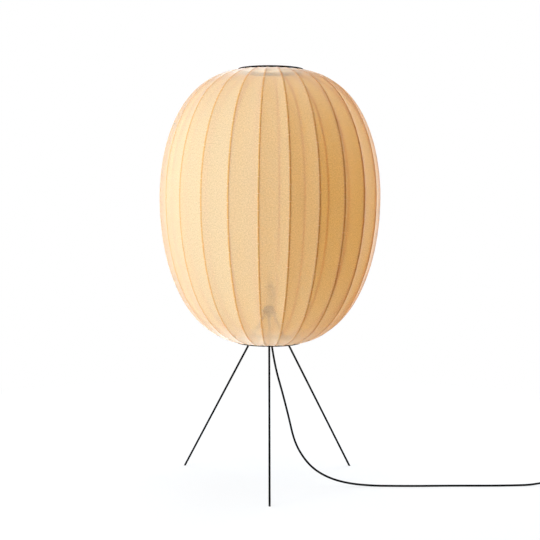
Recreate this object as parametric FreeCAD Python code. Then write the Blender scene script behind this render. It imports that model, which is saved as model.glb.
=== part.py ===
"""Floor lamp with a knitted shade stretched over bowed ribs, on three slim rod legs.

Millimetres, +Z up. The origin lies on the floor under the axis of the lamp,
-Y is the front and +X is to the right when the lamp is seen from the front.
Angles are measured round the axis from the front towards +X.
"""
import FreeCAD
import Part

import math
import os

V = FreeCAD.Vector
UP = V(0, 0, 1)

# Shade: the outline of the knit over a rib, from its widest height to the two rings
SHADE_RADIUS = 325.0
EQUATOR_Z = 839.0
CROWN_RISE = 379.8
CROWN_FULLNESS = 3.0
BELLY_DROP = 434.3
BELLY_FULLNESS = 2.75
RIB_COUNT = 24
SHADE_TURN = 9.6
PANEL_HOLLOW = 3.0
KNIT_THICKNESS = 1.2
HEM_GAP = 2.0
SECTIONS_PER_HALF = 9

# Ribs and the two rings that hold their ends
RIB_D = 3.0
RIB_KNIT_GAP = 0.35
RIB_HOLE_GAP = 0.15
RIB_BENDS_PER_HALF = 5
RING_RADIUS = 95.0
RING_WALL = 3.0
TOP_RING_PROUD = 4.3
BOTTOM_RING_PROUD = 2.0
RING_EDGE = 2.4
RIB_CAP_D = 6.0
RIB_CAP_GRIP = 5.0
RIB_CAP_END = 1.2

# Stand
HUB_TOP_Z = 521.5
HUB_HEIGHT = 22.5
HUB_TOP_RADIUS = 10.6
HUB_BOTTOM_RADIUS = 19.5
HUB_RIM = 5.5
LEG_D = 6.0
LEG_TURN = 1.0
LEG_INSERT = 9.0
LEG_SOCKET_GAP = 0.1
APEX_DROP = 2.5
FOOT_RADIUS = 299.0
TIP_SOLE = 5.0
TIP_PEG_D = 3.4
TIP_PEG_LENGTH = 9.0
TIP_BORE_GAP = 0.05

# Brackets between the bottom ring and the legs
BRACKET_WIDTH = 10.0
BRACKET_THICKNESS = 3.0
SLEEVE_D = 11.0
SLEEVE_LENGTH = 12.0
SLEEVE_GAP = 0.15
WELD_GAP = 0.1
GRUB_D = 3.0
GRUB_GAP = 0.1

# Threaded nipple and lamp holder
NIPPLE_D = 10.0
NIPPLE_BORE = 7.0
NIPPLE_IN = 7.0
NIPPLE_OUT = 4.0
NIPPLE_GAP = 0.1
HOLDER_WALL = 2.0
HOLDER_FLOOR = 3.0
HOLDER_NECK_D = 23.0
HOLDER_TAPER = 24.5
HOLDER_CAP_HEIGHT = 30.0
HOLDER_SHELL_HEIGHT = 25.0
HOLDER_LIP = 3.0
HOLDER_MOUTH_GAP = 1.5
LEDGE_WIDTH = 2.7
LEDGE_DROP = 12.0
INSERT_HEIGHT = 8.0
INSERT_GAP = 0.3
LINER_WALL = 0.8
LINER_HEIGHT = 25.0
LINER_CLEAR = 1.0
SHELL_CLEAR = 3.1
CONTACT_D = 10.0
CONTACT_HEIGHT = 3.5
CONTACT_PLATE = 0.8
TERMINAL_SPREAD = 8.5
TERMINAL_HEAD_D = 6.0
TERMINAL_HEAD_HEIGHT = 2.5

# Bulb
BULB_CAP_D = 26.0
BULB_CAP_HEIGHT = 25.0
BULB_PIN_D = 9.0
BULB_PIN_HEIGHT = 1.5
BULB_INSULATOR_HEIGHT = 3.5
BULB_CHAMFER = 2.0
BULB_THREAD_GAP = 0.4
BULB_SEAT_GAP = 0.3
GLOBE_D = 60.0
GLOBE_CENTRE = 54.0
NECK_D = 27.0
NECK_LENGTH = 9.0
GLASS_WALL = 1.0
STEM_FLANGE_GAP = 0.1
STEM_COLLAR_D = 18.0
STEM_COLLAR_Z = 26.0
STEM_POST_D = 3.0
STEM_PLATE = 1.0
FILAMENT_D = 1.8
FILAMENT_LENGTH = 34.0
FILAMENT_COUNT = 4

# Cord, its grip under the hub, and its put-away coil
CORD_D = 6.0
CORD_BORE_GAP = 0.15
BEND_SHARE = 0.45
GRIP_TOP_D = 13.0
GRIP_END_D = 8.8
GRIP_LENGTH = 26.0
GRIP_BORE = 10.0
HUB_CORD_GAP = 0.5
COIL_GAP = 0.7
COIL_TURNS = 3
COIL_INNER_RADIUS = 20.0
COIL_CENTRE = V(1004.0, -27.0, 0.0)
TIE_THICKNESS = 1.2
TIE_WIDTH = 10.0
TIE_GAP = 0.3

# Foot switch on the cord
SWITCH_START_X = 845.0
SWITCH_LENGTH = 80.0
SWITCH_WIDTH = 48.0
SWITCH_HEIGHT = 22.0
SWITCH_CORNER = 18.0
SWITCH_WALL = 2.0
SWITCH_EDGE_ROUND = 1.8
SWITCH_CORD_Z = 9.0
PEDAL_D = 30.0
PEDAL_FLANGE = 2.5
PEDAL_FLANGE_THICKNESS = 2.5
PEDAL_PROUD = 4.5
PEDAL_EDGE_ROUND = 2.0
PEDAL_GAP = 0.4
PEDAL_SEAT_GAP = 0.3
SPRING_D = 13.0
SPRING_WIRE = 1.2
SPRING_TURNS = 4
SPRING_SEAT_GAP = 0.1
BOOT_ROOT_D = 10.0
BOOT_TIP_D = 8.2
BOOT_LENGTH = 20.0
BOOT_BORE = 8.0

# Plug
PLUG_LENGTH = 36.0
PLUG_WIDTH = 34.0
PLUG_REAR_WIDTH = 17.0
PLUG_THICKNESS = 14.0
PLUG_REAR_THICKNESS = 11.5
PLUG_CORNER = 4.0
PLUG_FRONT_X = 884.0
PIN_D = 4.0
PIN_LENGTH = 19.0
PIN_PITCH = 19.0
PLUG_BOOT_ROOT_D = 10.5
PLUG_BOOT_LENGTH = 25.0

# Values worked out from the sizes above
RIB_STEP = 360.0 / RIB_COUNT
LEG_ANGLES = {"front": LEG_TURN, "right": LEG_TURN + 120.0, "left": LEG_TURN + 240.0}
HUB_BOTTOM_Z = HUB_TOP_Z - HUB_HEIGHT
APEX_Z = HUB_TOP_Z - APEX_DROP
LEG_TILT = math.atan2(FOOT_RADIUS, APEX_Z)
LEG_RADIUS = LEG_D / 2
CORD_RADIUS = CORD_D / 2
CORD_BORE_RADIUS = CORD_RADIUS + CORD_BORE_GAP
PANEL_CHORD = 2 * SHADE_RADIUS * math.sin(math.radians(RIB_STEP / 2))
PANEL_END_SLOPE = 2 * math.atan(2 * PANEL_HOLLOW / PANEL_CHORD)
CORNER_HALF = math.pi / 2 - math.radians(RIB_STEP / 2) - PANEL_END_SLOPE
RIB_DEPTH = (KNIT_THICKNESS + RIB_KNIT_GAP + RIB_D / 2) / math.sin(CORNER_HALF)
RIB_HOLE_RADIUS = RIB_D / 2 + RIB_HOLE_GAP
RING_INNER_RADIUS = RING_RADIUS - RING_WALL
HEM_RADIUS = RING_RADIUS + HEM_GAP
COIL_PITCH = CORD_D + COIL_GAP
COIL_OUTER_RADIUS = COIL_INNER_RADIUS + COIL_TURNS * COIL_PITCH
COIL_LOW_Z = TIE_THICKNESS + TIE_GAP + CORD_RADIUS
COIL_HIGH_Z = COIL_LOW_Z + COIL_PITCH
SWITCH_END_X = SWITCH_START_X + SWITCH_LENGTH
SWITCH_Y = COIL_CENTRE.y - COIL_OUTER_RADIUS
PLUG_Y = COIL_CENTRE.y + COIL_OUTER_RADIUS
PLUG_Z = PLUG_THICKNESS / 2
PLUG_REAR_X = PLUG_FRONT_X + PLUG_LENGTH

# Route of the cord: down from the grip, across the floor and up into the foot switch
DROP_ROUTE = [
    V(0, 0, HUB_BOTTOM_Z - GRIP_LENGTH + GRIP_BORE),
    V(0, 0, 455),
    V(4.5, -11, 412),
    V(19.5, -28, 336),
    V(39, -42.5, 268),
    V(57.5, -56, 199),
    V(75.5, -69, 132),
    V(98, -78, 89),
    V(131, -84.5, 51),
    V(178, -88, 24),
    V(236, -90, 8.5),
    V(304, -91.5, CORD_RADIUS),
    V(376, -92.5, CORD_RADIUS),
    V(448, -91, CORD_RADIUS),
    V(519, -86, CORD_RADIUS),
    V(588, -83.8, CORD_RADIUS),
    V(656, -82.2, CORD_RADIUS),
    V(716, -77.5, CORD_RADIUS),
    V(764, -72, CORD_RADIUS),
    V(790, -69, 5.7),
    V(812, SWITCH_Y, SWITCH_CORD_Z),
    V(SWITCH_START_X - BOOT_LENGTH + BOOT_BORE, SWITCH_Y, SWITCH_CORD_Z),
]
# From the switch to the start of the coil, and from the end of the coil to the plug
LINK_ROUTE = [
    V(SWITCH_END_X + BOOT_LENGTH - BOOT_BORE, SWITCH_Y, SWITCH_CORD_Z),
    V(955, SWITCH_Y, SWITCH_CORD_Z),
    V(977, SWITCH_Y, COIL_LOW_Z),
    V(COIL_CENTRE.x - CORD_D, SWITCH_Y, COIL_LOW_Z),
]
TAIL_ROUTE = [
    V(COIL_CENTRE.x - CORD_D, PLUG_Y, COIL_HIGH_Z),
    V(980, PLUG_Y, COIL_HIGH_Z),
    V(957, PLUG_Y, PLUG_Z),
    V(PLUG_REAR_X + PLUG_BOOT_LENGTH - BOOT_BORE, PLUG_Y, PLUG_Z),
]


def polar(angle, radius, z):
    """Point at an angle round the axis, measured from the front towards +X."""
    turn = math.radians(angle)
    return V(radius * math.sin(turn), -radius * math.cos(turn), z)


def turned(shape, angle):
    """Copy of a shape modelled at the front, turned round the axis."""
    copy = shape.copy()
    copy.rotate(V(0, 0, 0), UP, angle)
    return copy


def lathe(points):
    """Solid of revolution round the axis from a closed outline of (radius, z) points."""
    corners = [V(radius, 0, z) for radius, z in points]
    outline = Part.makePolygon(corners + corners[:1])
    return Part.Face(outline).revolve(V(0, 0, 0), UP, 360)


def rod(start, end, radius):
    """Round bar between two points."""
    return Part.makeCylinder(radius, (end - start).Length, start, end - start)


def arc_to(start, heading, end):
    """Edge that leaves start along a heading and ends at end: an arc, or a line if straight."""
    chord = end - start
    angle = heading.getAngle(chord)
    if angle < 1e-6:
        return Part.LineSegment(start, end).toShape()
    side = heading - chord * (heading.dot(chord) / chord.dot(chord))
    side.normalize()
    middle = (start + end) * 0.5 + side * (chord.Length / 2 * math.tan(angle / 2))
    return Part.Arc(start, middle, end).toShape()


def biarc(start, start_heading, end, end_heading):
    """Two tangent arcs between two points with given headings."""
    gap = end - start
    reach = gap.dot(start_heading + end_heading)
    slack = 2 * (1 - start_heading.dot(end_heading))
    if slack < 1e-9:
        arm = gap.dot(gap) / (2 * reach)
    else:
        arm = (math.sqrt(reach * reach + slack * gap.dot(gap)) - reach) / slack
    first = start + start_heading * arm
    last = end - end_heading * arm
    joint = (first + last) * 0.5
    joint_heading = last - first
    joint_heading.normalize()
    return [arc_to(start, start_heading, joint), arc_to(joint, joint_heading, end)]


def tube(edges, start, heading, radius):
    """Round tube along a chain of tangent edges."""
    profile = Part.Wire(Part.Circle(start, heading, radius).toShape())
    return Part.Wire(edges).makePipeShell([profile], True, False)


def chain(stations):
    """Biarcs through a list of (point, heading) stations."""
    edges = []
    for (start, start_heading), (end, end_heading) in zip(stations, stations[1:]):
        edges += biarc(start, start_heading, end, end_heading)
    return edges


def unit(vector):
    """Vector of length one."""
    copy = V(vector)
    copy.normalize()
    return copy


def cord_path(route):
    """Straight runs along a route joined by tangent arcs, with the radius of each arc."""
    edges = []
    radii = []
    here = route[0]
    for before, corner, after in zip(route, route[1:], route[2:]):
        arriving = unit(corner - before)
        leaving = unit(after - corner)
        half_turn = arriving.getAngle(leaving) / 2
        reach = BEND_SHARE * min((corner - before).Length, (after - corner).Length)
        bend_start = corner - arriving * reach
        bend_end = corner + leaving * reach
        edges.append(Part.LineSegment(here, bend_start).toShape())
        edges.append(arc_to(bend_start, arriving, bend_end))
        radii.append(reach / math.tan(half_turn))
        here = bend_end
    edges.append(Part.LineSegment(here, route[-1]).toShape())
    return edges, radii


def cord_tube(name, route):
    """Tube of the cord along a route, with its bends and its length printed."""
    edges, radii = cord_path(route)
    solid = tube(edges, route[0], unit(route[1] - route[0]), CORD_RADIUS)
    length = sum(edge.Length for edge in edges)
    section = math.pi * CORD_RADIUS**2
    share = solid.Volume / (section * length)
    print(f"{name}: length {length:.1f}, volume / (section x length) {share:.4f}")
    print(f"{name}: bend radii {[round(radius) for radius in radii]}")
    return solid


def meridian(t, depth=0.0):
    """Radius, z, heading and inward normal of the shade's outline at an angle t.

    t runs from the bottom through 0 at the widest height to the top. The point
    is set in from the outline by a depth along the inward normal.
    """
    rise, fullness = (CROWN_RISE, CROWN_FULLNESS) if t > 0 else (BELLY_DROP, BELLY_FULLNESS)
    power = 2 / fullness
    radius = SHADE_RADIUS * math.cos(t) ** power
    z = EQUATOR_Z + rise * math.sin(t)
    slope_r = -SHADE_RADIUS * power * math.cos(t) ** (power - 1) * math.sin(t)
    slope_z = rise * math.cos(t)
    length = math.hypot(slope_r, slope_z)
    heading = (slope_r / length, slope_z / length)
    inward = (-heading[1], heading[0])
    return radius + inward[0] * depth, z + inward[1] * depth, heading, inward


def hem_angles():
    """Angles t at which the outline reaches the bottom hem and the top hem."""
    share = HEM_RADIUS / SHADE_RADIUS
    return -math.acos(share ** (BELLY_FULLNESS / 2)), math.acos(share ** (CROWN_FULLNESS / 2))


def spread(per_half):
    """Angles t from the bottom hem to the top hem, with the widest height among them."""
    low, high = hem_angles()
    lower = [low * (1 - step / per_half) for step in range(per_half)]
    upper = [high * step / per_half for step in range(per_half + 1)]
    return lower + upper


def knit_outline(t, depth):
    """Closed outline of the knit at an angle t: one hollow arc between each two ribs."""
    crest_r, crest_z, _, _ = meridian(t, depth / math.sin(CORNER_HALF))
    outer_r, outer_z, _, inward = meridian(t)
    sink = PANEL_HOLLOW * outer_r / SHADE_RADIUS + depth
    dip_r = outer_r * math.cos(math.radians(RIB_STEP / 2)) + inward[0] * sink
    dip_z = outer_z + inward[1] * sink
    edges = []
    for index in range(RIB_COUNT):
        angle = SHADE_TURN + index * RIB_STEP
        start = polar(angle, crest_r, crest_z)
        middle = polar(angle + RIB_STEP / 2, dip_r, dip_z)
        end = polar(angle + RIB_STEP, crest_r, crest_z)
        edges.append(Part.Arc(start, middle, end).toShape())
    return Part.Wire(edges)


def make_shade_knit():
    """Knitted cover: an outer and an inner skin, closed along the two hems."""
    angles = spread(SECTIONS_PER_HALF)
    outer = [knit_outline(t, 0.0) for t in angles]
    inner = [knit_outline(t, KNIT_THICKNESS) for t in angles]
    skins = [
        Part.makeLoft(outer, False, False),
        Part.makeLoft(inner, False, False),
        Part.makeLoft([outer[0], inner[0]], False, True),
        Part.makeLoft([outer[-1], inner[-1]], False, True),
    ]
    faces = [face for skin in skins for face in skin.Faces]
    shell = Part.makeShell(faces)
    shell.sewShape()
    solid = Part.Solid(shell)
    if solid.Volume < 0:
        solid.reverse()
    return solid


def front_station(t, depth):
    """Point and heading on the front meridian, set in by a depth."""
    radius, z, heading, _ = meridian(t, depth)
    return V(0, -radius, z), V(0, -heading[0], heading[1])


def rib_ends():
    """End points and outward headings of a front rib's straight ends, bottom then top."""
    ends = []
    for t, sign in zip(hem_angles(), (-1, 1)):
        point, heading = front_station(t, RIB_DEPTH)
        heading = heading * sign
        to_ring_inside = (-point.y - RING_INNER_RADIUS) / heading.y
        ends.append((point + heading * (to_ring_inside + cap_seat(heading) + RIB_CAP_GRIP), heading))
    return ends


def cap_seat(heading):
    """Distance of a rib cap from the ring's inner face, so that its tilted edge clears it."""
    return RIB_CAP_D / 2 * abs(heading.z / heading.y) + RIB_HOLE_GAP


def make_front_rib():
    """Bowed rod from ring to ring, with a straight end through each ring."""
    (low_end, low_heading), (high_end, high_heading) = rib_ends()
    stations = [front_station(t, RIB_DEPTH) for t in spread(RIB_BENDS_PER_HALF)]
    edges = [Part.LineSegment(low_end, stations[0][0]).toShape()]
    edges += chain(stations)
    edges.append(Part.LineSegment(stations[-1][0], high_end).toShape())
    return tube(edges, low_end, low_heading * -1, RIB_D / 2)


def make_ring(end, heading, hem_t, away, proud):
    """Upright hoop of flat bar with a slanted hole for each rib; away is +1 on top."""
    hem_z = meridian(hem_t)[1]
    proud_edge = hem_z + away * proud
    walls = (RING_RADIUS, RING_INNER_RADIUS)
    hole_heights = [end.z + heading.z * (-end.y - radius) / heading.y for radius in walls]
    nearest_hole = min(away * z for z in hole_heights)
    hidden_edge = away * (nearest_hole - RIB_HOLE_RADIUS - RING_EDGE)
    low, high = sorted((proud_edge, hidden_edge))
    hoop = lathe([(walls[1], low), (walls[0], low), (walls[0], high), (walls[1], high)])
    hole = rod(end, end - heading * (RIB_CAP_GRIP + 4 * RING_WALL), RIB_HOLE_RADIUS)
    holes = [turned(hole, SHADE_TURN + index * RIB_STEP) for index in range(RIB_COUNT)]
    return hoop.cut(Part.Compound(holes)), low, high


def make_rib_cap(end, heading):
    """Push-on cap over the end of a rib inside its ring."""
    mouth = end - heading * RIB_CAP_GRIP
    cap = rod(mouth, end + heading * RIB_CAP_END, RIB_CAP_D / 2)
    return cap.cut(rod(mouth, end, RIB_HOLE_RADIUS))


def leg_point(distance):
    """Point on the front leg's axis at a distance from its foot."""
    radius = FOOT_RADIUS - distance * math.sin(LEG_TILT)
    return V(0, -radius, distance * math.cos(LEG_TILT))


LEG_END = HUB_BOTTOM_Z / math.cos(LEG_TILT) + LEG_INSERT


def make_front_leg():
    """Straight rod from its tip to the blind end of its socket in the hub, bored for the tip's peg."""
    leg = rod(leg_point(TIP_SOLE), leg_point(LEG_END), LEG_RADIUS)
    bore_end = TIP_SOLE + TIP_PEG_LENGTH + TIP_BORE_GAP
    return leg.cut(rod(leg_point(TIP_SOLE), leg_point(bore_end), TIP_PEG_D / 2 + TIP_BORE_GAP))


def make_front_tip():
    """Rubber tip flush with the leg, cut flat on the floor, with a peg in the end of the leg."""
    sole = rod(leg_point(-LEG_D), leg_point(TIP_SOLE), LEG_RADIUS)
    peg = rod(leg_point(TIP_SOLE), leg_point(TIP_SOLE + TIP_PEG_LENGTH), TIP_PEG_D / 2)
    span = 8 * LEG_D
    below = Part.makeBox(span, span, span, V(-span / 2, -FOOT_RADIUS - span / 2, -span))
    return sole.cut(below).fuse(peg)


def make_hub():
    """Tapered hub on a straight rim, with leg sockets, a nipple bore and a cord bore."""
    hub = lathe([
        (0, HUB_BOTTOM_Z), (HUB_BOTTOM_RADIUS, HUB_BOTTOM_Z), (HUB_BOTTOM_RADIUS, HUB_BOTTOM_Z + HUB_RIM),
        (HUB_TOP_RADIUS, HUB_TOP_Z), (0, HUB_TOP_Z),
    ])
    socket = rod(leg_point(LEG_END - 3 * LEG_INSERT), leg_point(LEG_END), LEG_RADIUS + LEG_SOCKET_GAP)
    for angle in LEG_ANGLES.values():
        hub = hub.cut(turned(socket, angle))
    bore = Part.makeCylinder(CORD_RADIUS + HUB_CORD_GAP, HUB_HEIGHT, V(0, 0, HUB_BOTTOM_Z))
    nipple_bore = Part.makeCylinder(NIPPLE_D / 2 + NIPPLE_GAP, NIPPLE_IN, V(0, 0, HUB_TOP_Z - NIPPLE_IN))
    return hub.cut(bore).cut(nipple_bore)


def make_nipple():
    """Hollow threaded tube that joins the lamp holder to the hub."""
    low = HUB_TOP_Z - NIPPLE_IN
    high = HUB_TOP_Z + HOLDER_FLOOR + NIPPLE_OUT
    return lathe([(NIPPLE_BORE / 2, low), (NIPPLE_D / 2, low), (NIPPLE_D / 2, high), (NIPPLE_BORE / 2, high)])


def make_cord_grip():
    """Tapered cord grip under the hub, with a bore that the cord ends in."""
    low = HUB_BOTTOM_Z - GRIP_LENGTH
    cone = Part.makeCone(GRIP_END_D / 2, GRIP_TOP_D / 2, GRIP_LENGTH, V(0, 0, low))
    return cone.cut(Part.makeCylinder(CORD_BORE_RADIUS, GRIP_BORE, V(0, 0, low)))


def bracket_place(low, high):
    """Distance along a leg, radius and z of the middle of its bracket on the bottom ring."""
    z = (low + high) / 2
    distance = z / math.cos(LEG_TILT)
    return distance, FOOT_RADIUS - distance * math.sin(LEG_TILT), z


def make_front_bracket(low, high):
    """Flat arm from the bottom ring to a clamped sleeve round the leg."""
    distance, radius, z = bracket_place(low, high)
    half = SLEEVE_LENGTH / 2
    arm = Part.makeBox(
        BRACKET_WIDTH,
        RING_RADIUS - radius,
        BRACKET_THICKNESS,
        V(-BRACKET_WIDTH / 2, -RING_RADIUS, z - BRACKET_THICKNESS / 2),
    )
    arm = arm.common(Part.makeCylinder(RING_INNER_RADIUS - WELD_GAP, high - low, V(0, 0, low)))
    sleeve = rod(leg_point(distance - half), leg_point(distance + half), SLEEVE_D / 2)
    clear = LEG_RADIUS + SLEEVE_GAP
    bore = rod(leg_point(distance - SLEEVE_LENGTH), leg_point(distance + SLEEVE_LENGTH), clear)
    start, end = grub_ends(distance)
    hole = rod(start, end, GRUB_D / 2 + GRUB_GAP)
    return arm.fuse(sleeve).cut(bore).cut(hole).removeSplitter()


def grub_ends(distance):
    """Outer and inner end of the grub screw that clamps a sleeve, on the axis side."""
    centre = leg_point(distance)
    towards_axis = V(0, math.cos(LEG_TILT), -math.sin(LEG_TILT))
    return centre + towards_axis * (SLEEVE_D / 2 + GRUB_GAP), centre + towards_axis * (LEG_RADIUS + GRUB_GAP)


def make_front_grub(low, high):
    """Grub screw of a leg sleeve."""
    start, end = grub_ends(bracket_place(low, high)[0])
    return rod(start, end, GRUB_D / 2)


LINER_BORE = BULB_CAP_D / 2 + BULB_THREAD_GAP
LINER_RADIUS = LINER_BORE + LINER_WALL
POCKET_RADIUS = LINER_RADIUS + LINER_CLEAR
HOLDER_BORE = LINER_RADIUS + SHELL_CLEAR
HOLDER_RADIUS = HOLDER_BORE + HOLDER_WALL
LEDGE_Z = HUB_TOP_Z + HOLDER_CAP_HEIGHT - LEDGE_DROP
INSERT_TOP_Z = LEDGE_Z + INSERT_HEIGHT
BULB_Z = INSERT_TOP_Z + CONTACT_HEIGHT + BULB_SEAT_GAP


def make_holder_cap():
    """Tapered lower cup of the lamp holder, with a ledge that carries the insert."""
    low = HUB_TOP_Z
    high = low + HOLDER_CAP_HEIGHT
    hole = NIPPLE_D / 2 + NIPPLE_GAP
    neck = HOLDER_NECK_D / 2
    shoulder = low + HOLDER_TAPER
    ledge = POCKET_RADIUS - LEDGE_WIDTH
    floor = low + HOLDER_FLOOR
    flare = (HOLDER_RADIUS - neck) / HOLDER_TAPER
    throat = neck - HOLDER_WALL + flare * HOLDER_FLOOR
    throat_end = floor + (ledge - throat) / flare
    return lathe([
        (hole, low), (neck, low), (HOLDER_RADIUS, shoulder), (HOLDER_RADIUS, high), (POCKET_RADIUS, high),
        (POCKET_RADIUS, LEDGE_Z), (ledge, LEDGE_Z), (ledge, throat_end), (throat, floor), (hole, floor),
    ])


def make_holder_shell():
    """Upper barrel of the lamp holder, with a lip round its mouth."""
    low = HUB_TOP_Z + HOLDER_CAP_HEIGHT
    high = low + HOLDER_SHELL_HEIGHT
    mouth = max(BULB_CAP_D, NECK_D) / 2 + HOLDER_MOUTH_GAP
    return lathe([
        (HOLDER_BORE, low), (HOLDER_RADIUS, low), (HOLDER_RADIUS, high),
        (mouth, high), (mouth, high - HOLDER_LIP), (HOLDER_BORE, high - HOLDER_LIP),
    ])


def make_holder_insert():
    """Ceramic insert on the ledge, with a passage for the wires."""
    radius = POCKET_RADIUS - INSERT_GAP
    passage = CORD_RADIUS
    blind = INSERT_TOP_Z - CONTACT_HEIGHT
    return lathe([
        (passage, LEDGE_Z), (radius, LEDGE_Z), (radius, INSERT_TOP_Z),
        (0, INSERT_TOP_Z), (0, blind), (passage, blind),
    ])


def make_thread_liner():
    """Brass sleeve that the bulb screws into."""
    low = INSERT_TOP_Z
    high = low + LINER_HEIGHT
    return lathe([(LINER_BORE, low), (LINER_RADIUS, low), (LINER_RADIUS, high), (LINER_BORE, high)])


def make_centre_contact():
    """Sprung centre contact on the insert."""
    plate = INSERT_TOP_Z + CONTACT_PLATE
    top = INSERT_TOP_Z + CONTACT_HEIGHT
    wide = CONTACT_D / 2
    return lathe([(0, INSERT_TOP_Z), (wide, INSERT_TOP_Z), (wide, plate), (wide / 2, top), (0, top)])


def make_terminal_screws():
    """Two terminal screw heads under the insert."""
    low = LEDGE_Z - TERMINAL_HEAD_HEIGHT
    places = [V(side * TERMINAL_SPREAD, 0, low) for side in (-1, 1)]
    return Part.Compound([Part.makeCylinder(TERMINAL_HEAD_D / 2, TERMINAL_HEAD_HEIGHT, p) for p in places])


def make_bulb_cap():
    """Screw cap of the bulb, closed at its top."""
    wide = BULB_CAP_D / 2
    pin = BULB_PIN_D / 2
    z = BULB_Z
    pin_top = z + BULB_PIN_HEIGHT
    shoulder = pin_top + BULB_INSULATOR_HEIGHT
    return lathe([
        (0, z), (pin, z), (pin, pin_top), (wide - BULB_CHAMFER, shoulder), (wide, shoulder + BULB_CHAMFER),
        (wide, z + BULB_CAP_HEIGHT), (0, z + BULB_CAP_HEIGHT),
    ])


def globe_edges(offset):
    """Half outline of the globe and neck, set in by an offset."""
    radius = GLOBE_D / 2 - offset
    neck = NECK_D / 2 - offset
    base = BULB_Z + BULB_CAP_HEIGHT
    centre = base + GLOBE_CENTRE
    corner_z = base + NECK_LENGTH
    reach = math.hypot(neck, centre - corner_z)
    angle = math.atan2(corner_z - centre, neck) + math.acos(radius / reach)
    touch = V(radius * math.cos(angle), 0, centre + radius * math.sin(angle))
    half = (angle + math.pi / 2) / 2
    middle = V(radius * math.cos(half), 0, centre + radius * math.sin(half))
    foot = V(neck, 0, base)
    corner = V(neck, 0, corner_z)
    top = V(0, 0, centre + radius)
    edges = [
        Part.LineSegment(foot, corner).toShape(),
        Part.LineSegment(corner, touch).toShape(),
        Part.Arc(touch, middle, top).toShape(),
    ]
    return edges, foot, top


def make_bulb_glass():
    """Hollow clear globe on a neck."""
    outer, outer_foot, outer_top = globe_edges(0.0)
    inner, inner_foot, inner_top = globe_edges(GLASS_WALL)
    rim = Part.LineSegment(inner_foot, outer_foot).toShape()
    crown = Part.LineSegment(outer_top, inner_top).toShape()
    outline = Part.Wire(Part.__sortEdges__(outer + inner + [rim, crown]))
    return Part.Face(outline).revolve(V(0, 0, 0), UP, 360)


def make_bulb_stem():
    """Glass stem in the globe: a flange in the neck, a post and two collars."""
    base = BULB_Z + BULB_CAP_HEIGHT
    flange = NECK_D / 2 - GLASS_WALL - STEM_FLANGE_GAP
    post = STEM_POST_D / 2
    collar = STEM_COLLAR_D / 2
    low = base + STEM_COLLAR_Z
    high = low + FILAMENT_LENGTH
    return lathe([
        (0, base), (flange, base), (flange, base + STEM_PLATE), (post, low - 2 * STEM_PLATE),
        (collar, low - STEM_PLATE), (collar, low), (post, low), (post, high),
        (collar, high), (collar, high + STEM_PLATE), (0, high + STEM_PLATE),
    ])


def make_bulb_filaments():
    """Upright filament sticks between the collars of the stem."""
    low = BULB_Z + BULB_CAP_HEIGHT + STEM_COLLAR_Z
    ring = STEM_COLLAR_D / 2 - FILAMENT_D
    places = [polar(360.0 / FILAMENT_COUNT * index, ring, low) for index in range(FILAMENT_COUNT)]
    return Part.Compound([Part.makeCylinder(FILAMENT_D / 2, FILAMENT_LENGTH, p) for p in places])


def coil_stations():
    """Points and headings along the coil: in on the low layer, a climb, out on the high layer."""
    drift = COIL_PITCH / (2 * math.pi)

    def place(turn):
        """Point of the coil at a turn in radians from its start."""
        inward = 2 * math.pi * COIL_TURNS
        climb_end = inward + math.pi
        if turn <= inward:
            radius, z = COIL_OUTER_RADIUS - drift * turn, COIL_LOW_Z
        elif turn >= climb_end:
            radius, z = COIL_INNER_RADIUS + drift * (turn - climb_end), COIL_HIGH_Z
        else:
            climb = turn - inward
            radius = COIL_INNER_RADIUS - drift * math.sin(climb)
            z = COIL_LOW_Z + COIL_PITCH * (climb / math.pi - math.sin(2 * climb) / (2 * math.pi))
        angle = turn - math.pi / 2
        return COIL_CENTRE + V(radius * math.cos(angle), radius * math.sin(angle), z)

    quarters = 4 * COIL_TURNS
    turns = [math.pi / 2 * step for step in range(quarters)]
    turns += [2 * math.pi * COIL_TURNS + math.pi / 4 * step for step in range(4)]
    turns += [2 * math.pi * COIL_TURNS + math.pi + math.pi / 2 * step for step in range(quarters + 1)]
    small = 1e-4
    stations = [(place(turn), unit(place(turn + small) - place(turn - small))) for turn in turns]
    stations[0] = (stations[0][0], V(1, 0, 0))
    stations[-1] = (stations[-1][0], V(-1, 0, 0))
    return stations


def least_gap(edges):
    """Least clear gap between turns of a tube, measured on points along its path."""
    points = [point for edge in edges for point in edge.discretize(12)[:-1]]
    runs = [0.0]
    for before, after in zip(points, points[1:]):
        runs.append(runs[-1] + (after - before).Length)
    least = math.inf
    for first, first_run in zip(points, runs):
        for second, second_run in zip(points, runs):
            if second_run - first_run > 6 * CORD_D:
                least = min(least, (second - first).Length)
    return least - CORD_D


def make_cord_coil():
    """Two flat layers of loops in one unbroken tube with straight ends."""
    stations = coil_stations()
    start = stations[0][0] - V(CORD_D, 0, 0)
    end = stations[-1][0] - V(CORD_D, 0, 0)
    edges = [Part.LineSegment(start, stations[0][0]).toShape()]
    edges += chain(stations)
    edges.append(Part.LineSegment(stations[-1][0], end).toShape())
    solid = tube(edges, start, V(1, 0, 0), CORD_RADIUS)
    length = sum(edge.Length for edge in edges)
    section = math.pi * CORD_RADIUS**2
    share = solid.Volume / (section * length)
    print(f"cord_coil: length {length:.1f}, volume / (section x length) {share:.4f}")
    print(f"cord_coil: least gap between turns {least_gap(edges):.2f}")
    return solid


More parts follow.
